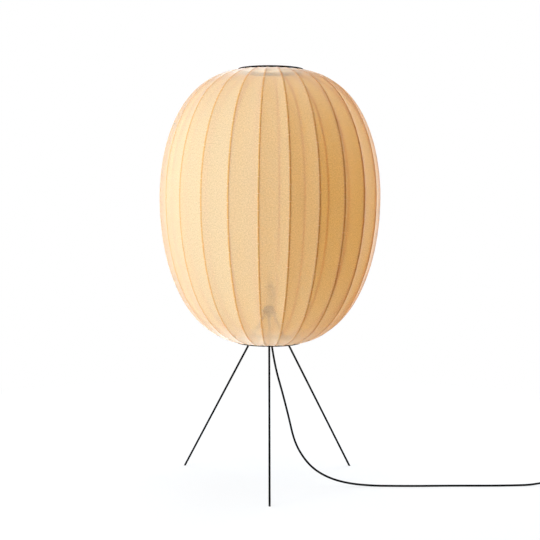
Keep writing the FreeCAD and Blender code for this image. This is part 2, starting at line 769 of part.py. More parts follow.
def make_coil_tie():
    """Strap round the bundle of turns on the side towards the switch."""
    sag = (TIE_WIDTH / 2) ** 2 / COIL_INNER_RADIUS
    inner = COIL_INNER_RADIUS - CORD_RADIUS - sag - TIE_GAP
    outer = COIL_OUTER_RADIUS + CORD_RADIUS + TIE_GAP
    low = COIL_LOW_Z - CORD_RADIUS - TIE_GAP
    high = COIL_HIGH_Z + CORD_RADIUS + TIE_GAP
    loops = []
    for grow in (TIE_THICKNESS, 0.0):
        box = Part.makeBox(
            outer - inner + 2 * grow,
            TIE_WIDTH,
            high - low + 2 * grow,
            COIL_CENTRE + V(-outer - grow, -TIE_WIDTH / 2, low - grow),
        )
        along_y = [edge for edge in box.Edges if abs(edge.tangentAt(edge.FirstParameter).y) > 0.9]
        loops.append(box.makeFillet(TIE_GAP + grow, along_y))
    return loops[0].cut(loops[1])


def rounded_plate(length, width, height, corner, origin):
    """Upright block with rounded vertical edges; origin is the middle of its start face, at its foot."""
    box = Part.makeBox(length, width, height, origin - V(0, width / 2, 0))
    upright = [edge for edge in box.Edges if abs(edge.tangentAt(edge.FirstParameter).z) > 0.9]
    return box.makeFillet(corner, upright)


def switch_block(inset, low, high):
    """Block of the switch's plan, set in by an inset, between two heights."""
    return rounded_plate(
        SWITCH_LENGTH - 2 * inset,
        SWITCH_WIDTH - 2 * inset,
        high - low,
        SWITCH_CORNER - inset,
        V(SWITCH_START_X + inset, SWITCH_Y, low),
    )


SWITCH_MIDDLE = V(SWITCH_START_X + SWITCH_LENGTH / 2, SWITCH_Y, 0)
SWITCH_SPLIT_Z = SWITCH_CORD_Z
PEDAL_TOP_Z = SWITCH_HEIGHT + PEDAL_PROUD
FLANGE_TOP_Z = SWITCH_HEIGHT - SWITCH_WALL - PEDAL_SEAT_GAP
FLANGE_LOW_Z = FLANGE_TOP_Z - PEDAL_FLANGE_THICKNESS


def make_switch_base():
    """Lower tray of the foot switch."""
    tray = switch_block(0.0, 0.0, SWITCH_SPLIT_Z)
    return tray.cut(switch_block(SWITCH_WALL, SWITCH_WALL, SWITCH_SPLIT_Z))


def make_switch_cover():
    """Upper shell of the foot switch, with a round opening for the pedal."""
    cover = switch_block(0.0, SWITCH_SPLIT_Z, SWITCH_HEIGHT)
    rim = [edge for edge in cover.Edges if edge.BoundBox.ZMin > SWITCH_HEIGHT - 0.01]
    cover = cover.makeFillet(SWITCH_EDGE_ROUND, rim)
    cover = cover.cut(switch_block(SWITCH_WALL, SWITCH_SPLIT_Z, SWITCH_HEIGHT - SWITCH_WALL))
    foot = SWITCH_MIDDLE + V(0, 0, SWITCH_SPLIT_Z)
    return cover.cut(Part.makeCylinder(PEDAL_D / 2 + PEDAL_GAP, SWITCH_HEIGHT, foot))


def make_switch_pedal():
    """Round push pedal with a flange that stops under the cover."""
    head = Part.makeCylinder(PEDAL_D / 2, PEDAL_TOP_Z - FLANGE_LOW_Z, SWITCH_MIDDLE + V(0, 0, FLANGE_LOW_Z))
    rim = [edge for edge in head.Edges if edge.BoundBox.ZMin > PEDAL_TOP_Z - 0.01]
    head = head.makeFillet(PEDAL_EDGE_ROUND, rim)
    flange = Part.makeCylinder(
        PEDAL_D / 2 + PEDAL_FLANGE, PEDAL_FLANGE_THICKNESS, SWITCH_MIDDLE + V(0, 0, FLANGE_LOW_Z)
    )
    return head.fuse(flange).removeSplitter()


def make_switch_spring():
    """Coil spring between the tray and the pedal."""
    wire = SPRING_WIRE / 2
    radius = SPRING_D / 2 - wire
    low = SWITCH_WALL + SPRING_SEAT_GAP + wire
    high = FLANGE_LOW_Z - SPRING_SEAT_GAP - wire
    quarters = 4 * SPRING_TURNS
    lift = (high - low) / quarters
    stations = []
    for step in range(quarters + 1):
        angle = math.pi / 2 * step
        point = SWITCH_MIDDLE + V(radius * math.cos(angle), radius * math.sin(angle), low + lift * step)
        heading = unit(V(-radius * math.sin(angle), radius * math.cos(angle), lift / (math.pi / 2)))
        stations.append((point, heading))
    return tube(chain(stations), stations[0][0], stations[0][1], wire)


def boot(root, tip, root_d):
    """Tapered cord boot with a bore in its tip that the cord ends in."""
    axis = tip - root
    cone = Part.makeCone(root_d / 2, BOOT_TIP_D / 2, axis.Length, root, axis)
    return cone.cut(rod(tip - unit(axis) * BOOT_BORE, tip, CORD_BORE_RADIUS))


def make_switch_boots():
    """Boots at the two ends of the foot switch."""
    start = V(SWITCH_START_X, SWITCH_Y, SWITCH_CORD_Z)
    end = V(SWITCH_END_X, SWITCH_Y, SWITCH_CORD_Z)
    reach = V(BOOT_LENGTH, 0, 0)
    return Part.Compound([boot(start, start - reach, BOOT_ROOT_D), boot(end, end + reach, BOOT_ROOT_D)])


def plug_outline(x, width, thickness):
    """Rounded outline of the plug across the cord at one place along it."""
    corner = V(x, PLUG_Y - width / 2, PLUG_Z - thickness / 2)
    plate = Part.makeBox(PLUG_LENGTH, width, thickness, corner)
    along = [edge for edge in plate.Edges if abs(edge.tangentAt(edge.FirstParameter).x) > 0.9]
    rounded = plate.makeFillet(PLUG_CORNER, along)
    face = min(rounded.Faces, key=lambda candidate: candidate.CenterOfMass.x)
    return face.OuterWire


def make_plug_body():
    """Flat tapered plug body, wide at the pins and narrow at the cord."""
    shoulder = PLUG_FRONT_X + PLUG_LENGTH / 2
    return Part.makeLoft(
        [
            plug_outline(PLUG_FRONT_X, PLUG_WIDTH, PLUG_THICKNESS),
            plug_outline(shoulder, PLUG_WIDTH, PLUG_THICKNESS),
            plug_outline(PLUG_REAR_X, PLUG_REAR_WIDTH, PLUG_REAR_THICKNESS),
        ],
        True,
        True,
    )


def make_plug_pins():
    """Two round pins with domed ends on the front of the plug."""
    pins = []
    for side in (-1, 1):
        foot = V(PLUG_FRONT_X, PLUG_Y + side * PIN_PITCH / 2, PLUG_Z)
        pin = Part.makeCylinder(PIN_D / 2, PIN_LENGTH, foot, V(-1, 0, 0))
        tip = [edge for edge in pin.Edges if edge.BoundBox.XMax < PLUG_FRONT_X - PIN_LENGTH + 0.01]
        pins.append(pin.makeFillet(PIN_D / 4, tip))
    return Part.Compound(pins)


def make_plug_boot():
    """Tapered boot between the plug and its cord."""
    root = V(PLUG_REAR_X, PLUG_Y, PLUG_Z)
    return boot(root, root + V(PLUG_BOOT_LENGTH, 0, 0), PLUG_BOOT_ROOT_D)


def build():
    """All pieces of the lamp by name."""
    pieces = {
        "hub": make_hub(),
        "nipple": make_nipple(),
        "cord_grip": make_cord_grip(),
        "holder_cap": make_holder_cap(),
        "holder_shell": make_holder_shell(),
        "holder_insert": make_holder_insert(),
        "thread_liner": make_thread_liner(),
        "centre_contact": make_centre_contact(),
        "terminal_screws": make_terminal_screws(),
        "bulb_cap": make_bulb_cap(),
        "bulb_glass": make_bulb_glass(),
        "bulb_stem": make_bulb_stem(),
        "bulb_filaments": make_bulb_filaments(),
        "shade_knit": make_shade_knit(),
        "cord_drop": cord_tube("cord_drop", DROP_ROUTE),
        "cord_link": cord_tube("cord_link", LINK_ROUTE),
        "cord_tail": cord_tube("cord_tail", TAIL_ROUTE),
        "cord_coil": make_cord_coil(),
        "coil_tie": make_coil_tie(),
        "switch_base": make_switch_base(),
        "switch_cover": make_switch_cover(),
        "switch_pedal": make_switch_pedal(),
        "switch_spring": make_switch_spring(),
        "switch_boots": make_switch_boots(),
        "plug_body": make_plug_body(),
        "plug_pins": make_plug_pins(),
        "plug_boot": make_plug_boot(),
    }
    (low_end, low_heading), (high_end, high_heading) = rib_ends()
    low_hem, high_hem = hem_angles()
    bottom_ring, ring_low, ring_high = make_ring(low_end, low_heading, low_hem, -1, BOTTOM_RING_PROUD)
    pieces["bottom_ring"] = bottom_ring
    pieces["top_ring"] = make_ring(high_end, high_heading, high_hem, 1, TOP_RING_PROUD)[0]
    rib_angles = [SHADE_TURN + index * RIB_STEP for index in range(RIB_COUNT)]
    rib = make_front_rib()
    for number, angle in enumerate(rib_angles, 1):
        pieces[f"rib_{number:02d}"] = turned(rib, angle)
    caps = [make_rib_cap(low_end, low_heading), make_rib_cap(high_end, high_heading)]
    pieces["rib_caps"] = Part.Compound([turned(cap, angle) for cap in caps for angle in rib_angles])
    leg = make_front_leg()
    for side, angle in LEG_ANGLES.items():
        pieces[f"leg_{side}"] = turned(leg, angle)
    repeated = {
        "foot_tips": make_front_tip(),
        "ring_brackets": make_front_bracket(ring_low, ring_high),
        "bracket_screws": make_front_grub(ring_low, ring_high),
    }
    for name, piece in repeated.items():
        pieces[name] = Part.Compound([turned(piece, angle) for angle in LEG_ANGLES.values()])
    return pieces


os.makedirs("parts", exist_ok=True)
for node, solid in build().items():
    solid.exportStep(f"parts/{node}.step")
    print(node, len(solid.Solids), solid.isValid(), round(solid.Volume, 1))
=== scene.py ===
import math

import bpy
import numpy as np
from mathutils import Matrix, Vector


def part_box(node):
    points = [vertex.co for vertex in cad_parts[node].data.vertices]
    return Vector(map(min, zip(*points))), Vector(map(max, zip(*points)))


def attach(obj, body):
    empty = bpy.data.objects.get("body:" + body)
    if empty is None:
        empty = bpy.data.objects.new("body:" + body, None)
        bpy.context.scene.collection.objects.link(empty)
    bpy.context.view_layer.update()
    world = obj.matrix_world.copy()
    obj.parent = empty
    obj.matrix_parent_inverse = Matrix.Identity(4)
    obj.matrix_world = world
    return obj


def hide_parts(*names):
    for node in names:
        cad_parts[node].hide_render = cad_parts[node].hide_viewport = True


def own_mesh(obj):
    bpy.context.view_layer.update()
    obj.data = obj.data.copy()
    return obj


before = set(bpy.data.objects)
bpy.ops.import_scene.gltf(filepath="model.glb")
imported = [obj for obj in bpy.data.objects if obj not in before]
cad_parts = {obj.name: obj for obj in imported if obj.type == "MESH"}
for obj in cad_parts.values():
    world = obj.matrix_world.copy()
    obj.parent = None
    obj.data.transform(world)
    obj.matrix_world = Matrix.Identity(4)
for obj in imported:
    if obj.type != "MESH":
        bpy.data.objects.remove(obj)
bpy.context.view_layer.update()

MM = 0.001
scene = bpy.context.scene

# Shade: outline over a rib, as in the solid, in millimetres and degrees from the front towards +X
SHADE_RADIUS = 325.0
EQUATOR_Z = 839.0
CROWN = (379.8, 3.0)
BELLY = (434.3, 2.75)
RIB_COUNT = 24
SEAM_TURN = 174.6
RIB_STEP = 360.0 / RIB_COUNT
PROFILE_POINTS = 6001
BEND_WINDOW = 301

# Hems: depth and shape of the scallops, share of it in the second row, and the fold behind the edge
HEM_RADIUS = 97.6
SCALLOP = 2.5
SCALLOP_POWER = 2.5
SCALLOP_SECOND = 0.45
HEM_FOLD = 1.2
HEM_FOLD_TURNS = (40, 80, 120, 160)
HEM_BACK = (1.0, 2.5, 4.0)
HEM_ROW = 0.8

# Knit over a rib: distance from the rib's middle along the panel, and depth under the crest
BEAD = [(0.6, 0.02), (1.1, 0.08), (1.7, 0.20), (2.2, 0.34), (2.7, 0.47), (3.4, 0.55)]
ROW_PITCH = 5.0
PANEL_STEPS = 7
HOLLOW_SHARE = 1.1
HOLLOW_LIMITS = (0.35, 3.2)

# Stitches along the ribs: rows between them, shift from rib to rib, and the pull on the knit beside them
STITCH_ROWS = 9
STITCH_SHIFT = 5
STITCH_MARGIN = 2
PULL_DEPTH = 0.8
PULL_PLACE = 3.6
PULL_REACH = 2.5
THREAD_RADIUS = 0.45
THREAD_SIDES = 6
KNOT_SWELL = 2.0
THREAD_ARCH = [
    (-3.7, 1.5), (-2.9, 0.75), (-2.1, 0.35), (-1.2, 0.0), (0, -0.2),
    (1.2, 0.0), (2.1, 0.35), (2.9, 0.75), (3.7, 1.5),
]

# Tape behind a rib: its section as width and depth under the crest, and rows left free at each end
TAPE_SECTION = [(-2.6, 0.85), (-2.2, 2.6), (-1.2, 5.0), (1.2, 5.0), (2.2, 2.6), (2.6, 0.85)]
TAPE_MARGIN = 3

# Share of each colour sent back and let through along a rib's line: the doubled knit's deeper colour plus
# painted crease shade and a painted highlight in the red
RIB_LINE_BACK_AND_PAINTED_SHADE = (1.1, 0.97, 0.50)
RIB_LINE_THROUGH_AND_PAINTED_SHADE = (0.86, 0.52, 0.16)

# Looks, in metres: the edge of a rib's line of doubled knit and painted shade, one stitch, and where the knit's
# open spots fade in from the two hems
RIB_LINE_SHADE_EDGE = (0.0014, 0.0036)
STITCH_SIZE = (0.0019, 0.0016)
STITCH_SLANT = 1.4
STITCH_DEPTH = 0.0004
HEM_FADE_LOW = (0.06, 0.14)
HEM_FADE_HIGH = (0.03, 0.10)
HEM_OPEN = 0.12
KNIT_GRAIN = 260.0
KNIT_TONES = (0.86, 1.12)
NOISE_RANGE = (0.3, 0.7)
PATCH_SCALE = 40.0

# Floor: corners in millimetres, its level, and in metres the ends of its glow and of its shadow
FLOOR_CORNERS = [(-9000, -6000, 0), (9000, -6000, 0), (9000, 12000, 0), (-9000, 12000, 0)]
FLOOR_DROP = 0.0002
FLOOR_SEEN = 0.68
FLOOR_GLOW = 0.85
GLOW_EDGE = (0.5, 1.4)
SHADOW_EDGE = (0.9, 1.8)

# Camera: place in metres, lens and sensor in millimetres, turn down and roll in radians
CAMERA_PLACE = (0.0018, -3.2245, 0.8517)
CAMERA_LENS = 72.55
CAMERA_SENSOR = 36.0
CAMERA_DOWN = 0.06955
CAMERA_ROLL = 0.007

# Cord
CORD_D = 6.0
DROP_ROUTE = [
    (0, 0, 483), (0, 0, 455), (7.0, -11, 412), (20.5, -28, 336), (41, -42.5, 268), (59.5, -56, 199),
    (75.5, -69, 132), (98, -78, 89), (131, -84.5, 51), (178, -88, 24), (236, -90, 8.5), (304, -91.5, 3),
    (376, -92.5, 3), (448, -91, 3), (519, -86, 3), (588, -83.8, 3), (656, -82.2, 3),
    (716, -77.5, 3), (764, -72, 3), (790, -69, 5.7), (812, -67.1, 9), (833, -67.1, 9),
]
LINK_ROUTE = [(937, -67.1, 9), (955, -67.1, 9), (977, -67.1, 4.5), (998, -67.1, 4.5)]
TAIL_ROUTE = [(998, 13.1, 11.2), (980, 13.1, 11.2), (957, 13.1, 7), (937, 13.1, 7)]
COIL_CENTRE = (1004.0, -27.0)
COIL_RADII = (40.1, 20.0)
COIL_PITCH = 6.7
COIL_TURNS = 3
COIL_HEIGHTS = (4.5, 11.2)
COIL_POINTS = 24
TIE_INSET = (0.7, 0.6)
TIE_BEND = 4.0
TIE_THICKNESS = 1.1


def linked(obj):
    """Puts a new object into the scene."""
    scene.collection.objects.link(obj)
    return obj


def mesh_object(name, verts, faces, smooth=True):
    """Mesh object from vertices in millimetres."""
    mesh = bpy.data.meshes.new(name)
    mesh.from_pydata((np.asarray(verts) * MM).tolist(), [], faces)
    mesh.polygons.foreach_set("use_smooth", [smooth] * len(mesh.polygons))
    mesh.update()
    return linked(bpy.data.objects.new(name, mesh))


def add_camera():
    """Camera at the photograph's place."""
    data = bpy.data.cameras.new("camera")
    data.sensor_width = CAMERA_SENSOR
    data.lens = CAMERA_LENS
    camera = linked(bpy.data.objects.new("camera", data))
    camera.location = CAMERA_PLACE
    level = Matrix.Rotation(math.pi / 2 - CAMERA_DOWN, 3, "X")
    camera.rotation_euler = (level @ Matrix.Rotation(CAMERA_ROLL, 3, "Z")).to_euler()
    scene.camera = camera


def coil_points():
    """Points of the put-away coil: three turns in, a climb of half a turn, three turns out."""
    drift = COIL_PITCH / (2 * math.pi)
    inward = 2 * math.pi * COIL_TURNS
    climb_end = inward + math.pi
    steps = round((2 * inward + math.pi) / (2 * math.pi) * COIL_POINTS)
    x, y = COIL_CENTRE
    points = []
    for step in range(steps + 1):
        turn = 2 * math.pi * step / COIL_POINTS
        if turn <= inward:
            radius, z = COIL_RADII[0] - drift * turn, COIL_HEIGHTS[0]
        elif turn >= climb_end:
            radius, z = COIL_RADII[1] + drift * (turn - climb_end), COIL_HEIGHTS[1]
        else:
            climb = turn - inward
            radius = COIL_RADII[1] - drift * math.sin(climb)
            z = COIL_HEIGHTS[0] + COIL_PITCH * (climb / math.pi - math.sin(2 * climb) / (2 * math.pi))
        angle = turn - math.pi / 2
        points.append((x + radius * math.cos(angle), y + radius * math.sin(angle), z))
    return points


def cord_curve(name, points):
    """Round cord on one smooth spline with the route's points as its control points."""
    curve = bpy.data.curves.new(name, "CURVE")
    curve.dimensions = "3D"
    curve.bevel_depth = CORD_D / 2 * MM
    curve.bevel_resolution = 6
    curve.use_fill_caps = True
    spline = curve.splines.new("NURBS")
    spline.points.add(len(points) - 1)
    for point, place in zip(spline.points, points):
        point.co = (place[0] * MM, place[1] * MM, place[2] * MM, 1.0)
    spline.order_u = 3
    spline.use_endpoint_u = True
    spline.resolution_u = 8
    return linked(bpy.data.objects.new(name, curve))


def meridian(t):
    """Radius and height of the rib outline at parameter t, for arrays."""
    rise = np.where(t >= 0, CROWN[0], BELLY[0])
    power = 2 / np.where(t >= 0, CROWN[1], BELLY[1])
    radius = SHADE_RADIUS * np.cos(t) ** power
    height = EQUATOR_Z + rise * np.sin(t)
    return radius, height


def shade_rows():
    """Rows of the knit at even steps along a rib: radius, height, slope, arc length and curvature."""
    top = math.acos((HEM_RADIUS / SHADE_RADIUS) ** (CROWN[1] / 2))
    bottom = -math.acos((HEM_RADIUS / SHADE_RADIUS) ** (BELLY[1] / 2))
    t = np.linspace(bottom, top, PROFILE_POINTS)
    radius, height = meridian(t)
    length = np.concatenate([[0], np.cumsum(np.hypot(np.diff(radius), np.diff(height)))])
    count = round(length[-1] / ROW_PITCH)
    at = np.linspace(0, length[-1], count + 1)
    slope = np.unwrap(np.arctan2(np.gradient(height, length), np.gradient(radius, length)))
    bend = np.gradient(slope, length)
    padded = np.pad(bend, BEND_WINDOW // 2, mode="edge")
    bend = np.convolve(padded, np.ones(BEND_WINDOW) / BEND_WINDOW, mode="valid")
    return {
        "r": np.interp(at, length, radius),
        "z": np.interp(at, length, height),
        "slope": np.interp(at, length, slope),
        "at": at,
        "bend": np.interp(at, length, bend),
    }


def around(angle, r, z):
    """Points at an angle round the axis, for arrays of radius and height."""
    a = math.radians(angle)
    return np.stack([r * math.sin(a), -r * math.cos(a), z], axis=-1)


def sideways(angle):
    """Direction round the axis at an angle."""
    return np.array([math.cos(math.radians(angle)), math.sin(math.radians(angle)), 0])


def stitch_rows(rib, count):
    """Rows of the knit with a stitch on a rib, staggered from rib to rib."""
    return range((rib * STITCH_SHIFT) % STITCH_ROWS + STITCH_MARGIN, count - STITCH_MARGIN, STITCH_ROWS)


def stitch_pull(gap):
    """Depth by which a stitch pulls the knit in at a distance from its rib."""
    return PULL_DEPTH * np.exp(-(((gap - PULL_PLACE) / PULL_REACH) ** 2))


def panel_columns(rows):
    """Columns across one panel from a rib to just before the next: distance along the chord and depth."""
    chord = 2 * rows["r"] * math.sin(math.radians(RIB_STEP / 2))
    hollow = np.clip(HOLLOW_SHARE * rows["bend"] * chord**2 / 8, *HOLLOW_LIMITS)
    edge_w, edge_d = BEAD[-1]
    half = [(np.zeros_like(chord), np.zeros_like(chord))]
    half += [(np.full_like(chord, w), np.full_like(chord, d)) for w, d in BEAD]
    for step in range(1, PANEL_STEPS + 1):
        f = step / (PANEL_STEPS + 1)
        half.append((edge_w + (chord / 2 - edge_w) * f, edge_d + hollow * (1 - (1 - f) ** 2)))
    middle = [(chord / 2, edge_d + hollow)]
    return half + middle + [(chord - w, d) for w, d in half[:0:-1]], chord


def make_knit():
    """The knit: hollow panels with a bead over each rib, a seam at the back and a folded hem at both ends."""
    rows = shade_rows()
    columns, chord = panel_columns(rows)
    count = len(rows["r"])
    stitch = np.zeros((RIB_COUNT + 1, count))
    for rib in range(RIB_COUNT):
        stitch[rib, list(stitch_rows(rib, count))] = 1
    stitch[RIB_COUNT] = stitch[0]
    grid, flat, gap = [], [], []
    equator_chord = 2 * SHADE_RADIUS * math.sin(math.radians(RIB_STEP / 2))
    for panel in range(RIB_COUNT):
        start = SEAM_TURN + panel * RIB_STEP
        left = around(start, rows["r"], rows["z"])
        right = around(start + RIB_STEP, rows["r"], rows["z"])
        heading = (right - left) / np.linalg.norm(right - left, axis=1)[:, None]
        normal = around(start + RIB_STEP / 2, np.sin(rows["slope"]), -np.cos(rows["slope"]))
        for w, depth in columns:
            pull = stitch[panel] * stitch_pull(w) + stitch[panel + 1] * stitch_pull(chord - w)
            pull = np.where(w > 0, pull, 0)
            grid.append(left + heading * w[:, None] - normal * (depth + pull)[:, None])
            flat.append(panel * equator_chord + w * equator_chord / chord)
            gap.append(np.minimum(w, chord - w))
    grid.append(around(SEAM_TURN, rows["r"], rows["z"]))
    flat.append(np.full(count, RIB_COUNT * equator_chord))
    gap.append(np.zeros(count))
    grid = np.stack(grid, axis=1)
    scallop_ends(grid, flat, equator_chord)
    along = np.repeat(rows["at"][:, None], grid.shape[1], axis=1)
    flat = np.stack(flat, axis=1)
    low = hem_fold(grid[0], grid[1], -1)
    high = hem_fold(grid[-1], grid[-2], 1)
    grid = np.concatenate([low[::-1], grid, high])
    ends = len(low)
    reach = np.arange(1, ends + 1)[:, None] * HEM_ROW
    along = np.concatenate([along[:1] - reach[::-1], along, along[-1:] + reach])
    flat = np.concatenate([np.repeat(flat[:1], ends, 0), flat, np.repeat(flat[-1:], ends, 0)])
    gap = np.stack(gap, axis=1)
    gap = np.concatenate([np.repeat(gap[:1], ends, 0), gap, np.repeat(gap[-1:], ends, 0)])
    knit = knit_object(grid, flat, along, ends)
    knit.data.attributes.new("rib_gap", "FLOAT", "POINT").data.foreach_set("value", gap.reshape(-1) * MM)
    return knit, rows


def scallop_ends(grid, flat, chord):
    """Draws the two ends of the knit back between the ribs, most in the middle of a panel."""
    share = np.stack(flat, axis=1)[0] / chord % 1.0
    draw = SCALLOP * (1 - np.abs(2 * share - 1) ** SCALLOP_POWER)
    for end, inner, amount in ((0, 1, 1.0), (-1, -2, 1.0), (1, 2, SCALLOP_SECOND), (-2, -3, SCALLOP_SECOND)):
        way = grid[inner] - grid[end]
        grid[end] += way / np.linalg.norm(way, axis=1)[:, None] * draw[:, None] * amount


def hem_fold(edge, inner, way):
    """Rows of a hem that turns inwards at an edge and runs back under the knit."""
    forward = edge - inner
    forward /= np.linalg.norm(forward, axis=1)[:, None]
    around_edge = np.gradient(edge, axis=0)
    inward = np.cross(forward, around_edge) * way
    inward /= np.linalg.norm(inward, axis=1)[:, None]
    fold = []
    for angle in HEM_FOLD_TURNS:
        a = math.radians(angle)
        fold.append(edge + forward * HEM_FOLD * math.sin(a) + inward * HEM_FOLD * (1 - math.cos(a)))
    for back in HEM_BACK:
        fold.append(edge - forward * back + inward * 2 * HEM_FOLD)
    return np.stack(fold)


def knit_object(grid, flat, along, ends):
    """Mesh of the knit from its grid, with real lengths as texture coordinates."""
    rows, columns = grid.shape[:2]
    faces, uvs, hems = [], [], []
    for row in range(rows - 1):
        for column in range(columns - 1):
            corners = [(row, column), (row, column + 1), (row + 1, column + 1), (row + 1, column)]
            faces.append([r * columns + c for r, c in corners])
            for r, c in corners:
                uvs += [flat[r, c] * MM, along[r, c] * MM]
            hems.append(int(row < ends or row >= rows - ends - 1))
    knit = mesh_object("knit", grid.reshape(-1, 3), faces)
    knit.data.uv_layers.new(name="lengths").data.foreach_set("uv", uvs)
    knit.data.polygons.foreach_set("material_index", hems)
    return knit


def make_tunnels(rows):
    """Knit tape sewn behind each rib, which closes its tunnel."""
    kept = slice(TAPE_MARGIN, -TAPE_MARGIN)
    r, z, slope = rows["r"][kept], rows["z"][kept], rows["slope"][kept]
    verts, faces = [], []
    for rib in range(RIB_COUNT):
        angle = SEAM_TURN + rib * RIB_STEP
        crest = around(angle, r, z)
        normal = around(angle, np.sin(slope), -np.cos(slope))
        side = sideways(angle)
        first = len(verts)
        for row in range(len(r)):
            verts += [crest[row] + side * w - normal[row] * d for w, d in TAPE_SECTION]
        width = len(TAPE_SECTION)
        for row in range(len(r) - 1):
            for i in range(width - 1):
                a = first + row * width + i
                faces.append([a, a + 1, a + 1 + width, a + width])
    return mesh_object("rib_tunnels", verts, faces)


def make_stitches(rows):
    """Thread wraps over each rib's bead, one at each pull of the knit, with a knot on both sides."""
    last, sides = len(THREAD_ARCH) - 1, THREAD_SIDES
    verts, faces = [], []
    for rib in range(RIB_COUNT):
        angle = SEAM_TURN + rib * RIB_STEP
        side = sideways(angle)
        for row in stitch_rows(rib, len(rows["r"])):
            slope = rows["slope"][row]
            crest = around(angle, rows["r"][row], rows["z"][row])
            normal = around(angle, math.sin(slope), -math.cos(slope))
            up = around(angle, math.cos(slope), math.sin(slope))
            first = len(verts)
            for i, (w, d) in enumerate(THREAD_ARCH):
                radius = THREAD_RADIUS * (KNOT_SWELL if i in (0, last) else 1.0)
                before, after = THREAD_ARCH[max(i - 1, 0)], THREAD_ARCH[min(i + 1, last)]
                tangent = side * (after[0] - before[0]) - normal * (after[1] - before[1])
                across = np.cross(tangent / np.linalg.norm(tangent), up)
                middle = crest + side * w - normal * d
                for turn in range(sides):
                    a = turn * 2 * math.pi / sides
                    verts.append(middle + (up * math.cos(a) + across * math.sin(a)) * radius)
            for i in range(last):
                a = first + i * sides
                for turn in range(sides):
                    ahead = (turn + 1) % sides
                    faces.append([a + turn, a + ahead, a + sides + ahead, a + sides + turn])
            faces.append([first + turn for turn in reversed(range(sides))])
            faces.append([first + last * sides + turn for turn in range(sides)])
    return mesh_object("rib_stitches", verts, faces)


def make_tie():
    """Woven strap that runs round the coil."""
    low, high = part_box("coil_tie")
    x0, x1 = low[0] / MM + TIE_INSET[0], high[0] / MM - TIE_INSET[0]
    z0, z1 = low[2] / MM + TIE_INSET[1], high[2] / MM - TIE_INSET[1]
    y0, y1 = low[1] / MM, high[1] / MM
    radius = TIE_BEND
    loop = []
    for cx, cz, start in ((x1 - radius, z1 - radius, 0), (x0 + radius, z1 - radius, 90),
                          (x0 + radius, z0 + radius, 180), (x1 - radius, z0 + radius, 270)):
        for step in range(7):
            a = math.radians(start + 15 * step)
            loop.append((cx + radius * math.cos(a), cz + radius * math.sin(a)))
    verts, faces = [], []
    across = [0.0, 0.25, 0.5, 0.75, 1.0]
    for x, z in loop:
        verts += [(x, y0 + (y1 - y0) * f, z) for f in across]
    width, count = len(across), len(loop)
    for i in range(count):
        for j in range(width - 1):
            a, b = i * width + j, (i + 1) % count * width + j
            faces.append([a, a + 1, b + 1, b])
    tie = mesh_object("cord_tie", verts, faces)
    solid = tie.modifiers.new("thickness", "SOLIDIFY")
    solid.thickness = TIE_THICKNESS * MM
    solid.offset = 0.0
    return tie


def make_spring():
    """Return spring of the foot switch, copied at rest from its solid; the real spring shortens as the pedal
    goes down.
    """
    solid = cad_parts["switch_spring"]
    spring = linked(bpy.data.objects.new("pedal_spring", solid.data.copy()))
    spring.matrix_world = solid.matrix_world.copy()
    spring.data.materials.clear()
    return spring


def node(tree, kind, **inputs):
    """Shader node with its inputs set by name, spaces as underscores, or by number after an i."""
    made = tree.nodes.new("ShaderNode" + kind)
    for key, value in inputs.items():
        numbered = key[0] == "i" and key[1:].isdigit()
        socket = made.inputs[int(key[1:]) if numbered else key.replace("_", " ")]
        if isinstance(value, bpy.types.NodeSocket):
            tree.links.new(value, socket)
        else:
            socket.default_value = value
    return made


def maths(tree, operation, first, second=0.0):
    """Output of a math node."""
    made = node(tree, "Math", i0=first, i1=second)
    made.operation = operation
    return made.outputs[0]


def ranged(tree, value, low, high, start=0.0, end=1.0):
    """A value moved from the range start to end into low to high."""
    made = node(tree, "MapRange", Value=value, From_Min=start, From_Max=end, To_Min=low, To_Max=high)
    return made.outputs[0]


def blended(tree, fac, first, second):
    """Colour mixed from two colours."""
    made = tree.nodes.new("ShaderNodeMix")
    made.data_type = "RGBA"
    for socket, value in ((made.inputs[0], fac), (made.inputs[6], first), (made.inputs[7], second)):
        if isinstance(value, bpy.types.NodeSocket):
            tree.links.new(value, socket)
        elif isinstance(value, tuple):
            socket.default_value = (*value, 1.0)
        else:
            socket.default_value = value
    return made.outputs[2]


def noise(tree, scale, detail=3.0):
    """Noise value in the object's own coordinates, in metres."""
    place = tree.nodes.new("ShaderNodeTexCoord").outputs["Object"]
    return node(tree, "TexNoise", Vector=place, Scale=scale, Detail=detail).outputs["Fac"]


def bumped(tree, height, distance, strength=1.0):
    """Normal from a height value, with its depth in metres."""
    return node(tree, "Bump", Height=height, Distance=distance, Strength=strength).outputs[0]


def finish(name, dark, light, rough, grain, depth, through=None, **values):
    """Finish with a colour that drifts between two tones, uneven gloss and a fine surface grain."""
    material = bpy.data.materials.new(name)
    material.use_nodes = True
    tree = material.node_tree
    shader = tree.nodes["Principled BSDF"]
    drift = noise(tree, PATCH_SCALE, 4.0)
    fine = noise(tree, grain, 2.0)
    colour = blended(tree, ranged(tree, drift, 0, 1, *NOISE_RANGE), dark, light)
    tree.links.new(colour, shader.inputs["Base Color"])
    tree.links.new(ranged(tree, drift, *rough, *NOISE_RANGE), shader.inputs["Roughness"])
    tree.links.new(bumped(tree, fine, depth), shader.inputs["Normal"])
    for key, value in values.items():
        shader.inputs[key.replace("_", " ")].default_value = value
    if through:
        behind = node(tree, "BsdfTranslucent", Color=(*through, 1.0))
        cloth = node(tree, "MixShader", i0=0.5, i1=shader.outputs[0], i2=behind.outputs[0])
        tree.links.new(cloth.outputs[0], tree.nodes["Material Output"].inputs["Surface"])
    return material


